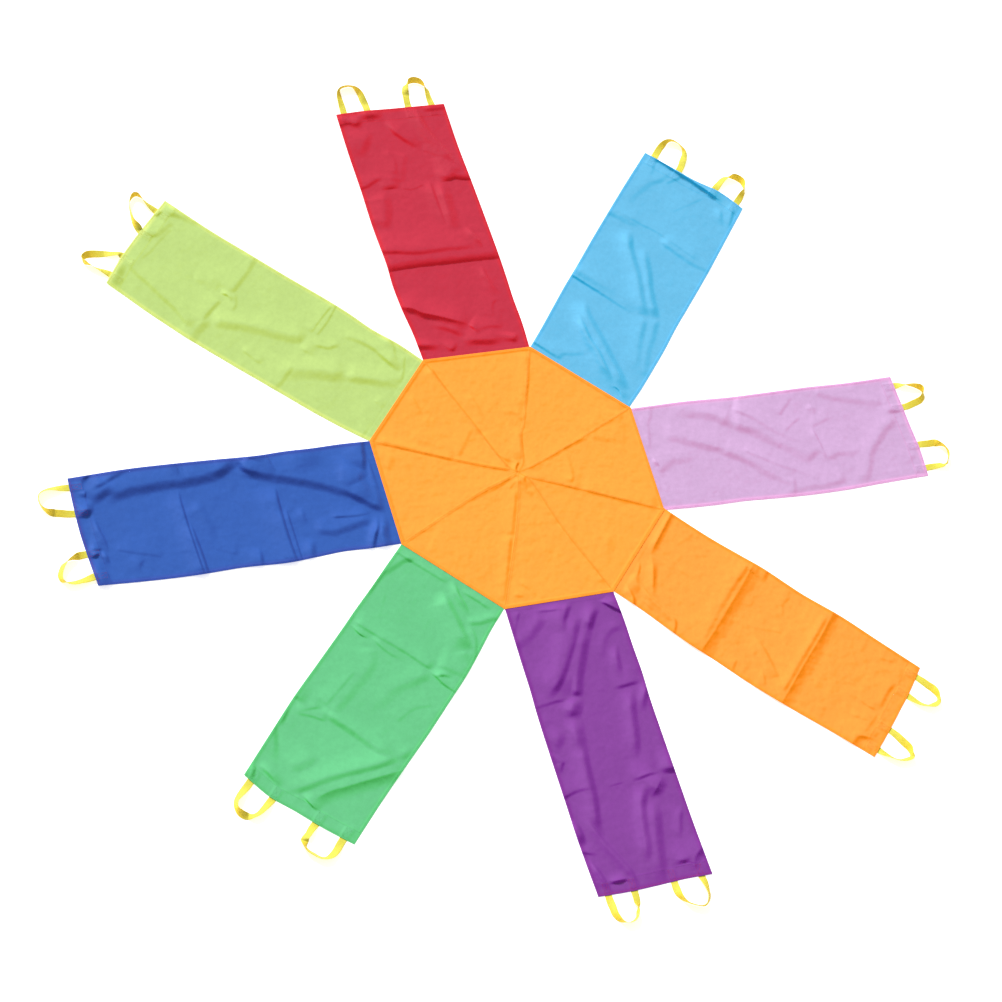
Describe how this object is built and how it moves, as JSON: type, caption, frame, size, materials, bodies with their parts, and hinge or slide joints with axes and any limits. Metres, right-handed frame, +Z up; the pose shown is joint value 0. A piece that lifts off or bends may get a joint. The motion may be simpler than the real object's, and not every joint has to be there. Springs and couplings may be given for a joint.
{
  "type": "play parachute",
  "caption": "Cloth play parachute laid flat: an octagon of sewn gores with a coloured strip on each side and two webbing hand loops at each strip's end.",
  "frame": {"origin": "centre of the octagon, on the underside that lies on the ground", "axes": "+Z up off the ground; +X along the pink strip, +Y along the red strip"},
  "size_m": [3.2432, 3.2432, 0.025],
  "materials": {
    "centre_cloth_orange": "satin",
    "webbing_yellow": "matte",
    "centre_thread": "matte",
    "red_cloth": "satin",
    "red_thread": "matte",
    "sky_blue_cloth": "satin",
    "sky_blue_thread": "matte",
    "pink_cloth": "satin",
    "pink_thread": "matte",
    "orange_cloth": "satin",
    "orange_thread": "matte",
    "purple_cloth": "satin",
    "purple_thread": "matte",
    "green_cloth": "satin",
    "green_thread": "matte",
    "blue_cloth": "satin",
    "blue_thread": "matte",
    "lime_cloth": "satin",
    "lime_thread": "matte"
  },
  "bodies": {
    "octagon_left_half": {"centre_gore_by_red": "centre_cloth_orange", "rim_seam_stitching_red": "centre_thread", "radial_seam_stitching_red": "centre_thread", "centre_gore_by_green": "centre_cloth_orange", "rim_seam_stitching_green": "centre_thread", "radial_seam_stitching_green": "centre_thread", "centre_gore_by_blue": "centre_cloth_orange", "rim_seam_stitching_blue": "centre_thread", "radial_seam_stitching_blue": "centre_thread", "centre_gore_by_lime": "centre_cloth_orange", "rim_seam_stitching_lime": "centre_thread", "radial_seam_stitching_lime": "centre_thread"},
    "octagon_right_half": {"centre_gore_by_sky_blue": "centre_cloth_orange", "rim_seam_stitching_sky_blue": "centre_thread", "radial_seam_stitching_sky_blue": "centre_thread", "centre_gore_by_pink": "centre_cloth_orange", "rim_seam_stitching_pink": "centre_thread", "radial_seam_stitching_pink": "centre_thread", "centre_gore_by_orange": "centre_cloth_orange", "rim_seam_stitching_orange": "centre_thread", "radial_seam_stitching_orange": "centre_thread", "centre_gore_by_purple": "centre_cloth_orange", "rim_seam_stitching_purple": "centre_thread", "radial_seam_stitching_purple": "centre_thread"},
    "red_strip": {"red_strip": "red_cloth", "red_hem_stitching": "red_thread"},
    "red_handle_left": {"red_webbing_handle_left": "webbing_yellow"},
    "red_handle_right": {"red_webbing_handle_right": "webbing_yellow"},
    "sky_blue_strip": {"sky_blue_strip": "sky_blue_cloth", "sky_blue_hem_stitching": "sky_blue_thread"},
    "sky_blue_handle_left": {"sky_blue_webbing_handle_left": "webbing_yellow"},
    "sky_blue_handle_right": {"sky_blue_webbing_handle_right": "webbing_yellow"},
    "pink_strip": {"pink_strip": "pink_cloth", "pink_hem_stitching": "pink_thread"},
    "pink_handle_left": {"pink_webbing_handle_left": "webbing_yellow"},
    "pink_handle_right": {"pink_webbing_handle_right": "webbing_yellow"},
    "orange_strip": {"orange_strip": "orange_cloth", "orange_hem_stitching": "orange_thread"},
    "orange_handle_left": {"orange_webbing_handle_left": "webbing_yellow"},
    "orange_handle_right": {"orange_webbing_handle_right": "webbing_yellow"},
    "purple_strip": {"purple_strip": "purple_cloth", "purple_hem_stitching": "purple_thread"},
    "purple_handle_left": {"purple_webbing_handle_left": "webbing_yellow"},
    "purple_handle_right": {"purple_webbing_handle_right": "webbing_yellow"},
    "green_strip": {"green_strip": "green_cloth", "green_hem_stitching": "green_thread"},
    "green_handle_left": {"green_webbing_handle_left": "webbing_yellow"},
    "green_handle_right": {"green_webbing_handle_right": "webbing_yellow"},
    "blue_strip": {"blue_strip": "blue_cloth", "blue_hem_stitching": "blue_thread"},
    "blue_handle_left": {"blue_webbing_handle_left": "webbing_yellow"},
    "blue_handle_right": {"blue_webbing_handle_right": "webbing_yellow"},
    "lime_strip": {"lime_strip": "lime_cloth", "lime_hem_stitching": "lime_thread"},
    "lime_handle_left": {"lime_webbing_handle_left": "webbing_yellow"},
    "lime_handle_right": {"lime_webbing_handle_right": "webbing_yellow"}
  },
  "joints": [
    {"name": "centre_fold", "type": "hinge", "parent": "octagon_left_half", "child": "octagon_right_half", "pos_m": [0, 0, 0.003], "axis": [0.3827, 0.9239, 0], "range_deg": [-170, 0]},
    {"name": "red_strip_fold", "type": "hinge", "parent": "octagon_left_half", "child": "red_strip", "pos_m": [0, 0.48284, 0.0024], "axis": [1, 0, 0], "range_deg": [0, 80]},
    {"name": "red_handle_left_swing", "type": "hinge", "parent": "red_strip", "child": "red_handle_left", "pos_m": [-0.12138, 1.51284, 0.0024], "axis": [1, 0, 0], "range_deg": [0, 135]},
    {"name": "red_handle_right_swing", "type": "hinge", "parent": "red_strip", "child": "red_handle_right", "pos_m": [0.12138, 1.51284, 0.0024], "axis": [1, 0, 0], "range_deg": [0, 135]},
    {"name": "sky_blue_strip_fold", "type": "hinge", "parent": "octagon_right_half", "child": "sky_blue_strip", "pos_m": [0.34142, 0.34142, 0.0024], "axis": [0.7071, -0.7071, 0], "range_deg": [0, 80]},
    {"name": "sky_blue_handle_left_swing", "type": "hinge", "parent": "sky_blue_strip", "child": "sky_blue_handle_left", "pos_m": [0.98391, 1.15557, 0.0024], "axis": [0.7071, -0.7071, 0], "range_deg": [0, 135]},
    {"name": "sky_blue_handle_right_swing", "type": "hinge", "parent": "sky_blue_strip", "child": "sky_blue_handle_right", "pos_m": [1.15557, 0.98391, 0.0024], "axis": [0.7071, -0.7071, 0], "range_deg": [0, 135]},
    {"name": "pink_strip_fold", "type": "hinge", "parent": "octagon_right_half", "child": "pink_strip", "pos_m": [0.48284, 0, 0.0024], "axis": [0, -1, 0], "range_deg": [0, 80]},
    {"name": "pink_handle_left_swing", "type": "hinge", "parent": "pink_strip", "child": "pink_handle_left", "pos_m": [1.51284, 0.12138, 0.0024], "axis": [0, -1, 0], "range_deg": [0, 135]},
    {"name": "pink_handle_right_swing", "type": "hinge", "parent": "pink_strip", "child": "pink_handle_right", "pos_m": [1.51284, -0.12138, 0.0024], "axis": [0, -1, 0], "range_deg": [0, 135]},
    {"name": "orange_strip_fold", "type": "hinge", "parent": "octagon_right_half", "child": "orange_strip", "pos_m": [0.34142, -0.34142, 0.0024], "axis": [-0.7071, -0.7071, 0], "range_deg": [0, 80]},
    {"name": "orange_handle_left_swing", "type": "hinge", "parent": "orange_strip", "child": "orange_handle_left", "pos_m": [1.15557, -0.98391, 0.0024], "axis": [-0.7071, -0.7071, 0], "range_deg": [0, 135]},
    {"name": "orange_handle_right_swing", "type": "hinge", "parent": "orange_strip", "child": "orange_handle_right", "pos_m": [0.98391, -1.15557, 0.0024], "axis": [-0.7071, -0.7071, 0], "range_deg": [0, 135]},
    {"name": "purple_strip_fold", "type": "hinge", "parent": "octagon_right_half", "child": "purple_strip", "pos_m": [0, -0.48284, 0.0024], "axis": [-1, 0, 0], "range_deg": [0, 80]},
    {"name": "purple_handle_left_swing", "type": "hinge", "parent": "purple_strip", "child": "purple_handle_left", "pos_m": [0.12138, -1.51284, 0.0024], "axis": [-1, 0, 0], "range_deg": [0, 135]},
    {"name": "purple_handle_right_swing", "type": "hinge", "parent": "purple_strip", "child": "purple_handle_right", "pos_m": [-0.12138, -1.51284, 0.0024], "axis": [-1, 0, 0], "range_deg": [0, 135]},
    {"name": "green_strip_fold", "type": "hinge", "parent": "octagon_left_half", "child": "green_strip", "pos_m": [-0.34142, -0.34142, 0.0024], "axis": [-0.7071, 0.7071, 0], "range_deg": [0, 80]},
    {"name": "green_handle_left_swing", "type": "hinge", "parent": "green_strip", "child": "green_handle_left", "pos_m": [-0.98391, -1.15557, 0.0024], "axis": [-0.7071, 0.7071, 0], "range_deg": [0, 135]},
    {"name": "green_handle_right_swing", "type": "hinge", "parent": "green_strip", "child": "green_handle_right", "pos_m": [-1.15557, -0.98391, 0.0024], "axis": [-0.7071, 0.7071, 0], "range_deg": [0, 135]},
    {"name": "blue_strip_fold", "type": "hinge", "parent": "octagon_left_half", "child": "blue_strip", "pos_m": [-0.48284, 0, 0.0024], "axis": [0, 1, 0], "range_deg": [0, 80]},
    {"name": "blue_handle_left_swing", "type": "hinge", "parent": "blue_strip", "child": "blue_handle_left", "pos_m": [-1.51284, -0.12138, 0.0024], "axis": [0, 1, 0], "range_deg": [0, 135]},
    {"name": "blue_handle_right_swing", "type": "hinge", "parent": "blue_strip", "child": "blue_handle_right", "pos_m": [-1.51284, 0.12138, 0.0024], "axis": [0, 1, 0], "range_deg": [0, 135]},
    {"name": "lime_strip_fold", "type": "hinge", "parent": "octagon_left_half", "child": "lime_strip", "pos_m": [-0.34142, 0.34142, 0.0024], "axis": [0.7071, 0.7071, 0], "range_deg": [0, 80]},
    {"name": "lime_handle_left_swing", "type": "hinge", "parent": "lime_strip", "child": "lime_handle_left", "pos_m": [-1.15557, 0.98391, 0.0024], "axis": [0.7071, 0.7071, 0], "range_deg": [0, 135]},
    {"name": "lime_handle_right_swing", "type": "hinge", "parent": "lime_strip", "child": "lime_handle_right", "pos_m": [-0.98391, 1.15557, 0.0024], "axis": [0.7071, 0.7071, 0], "range_deg": [0, 135]}
  ]
}
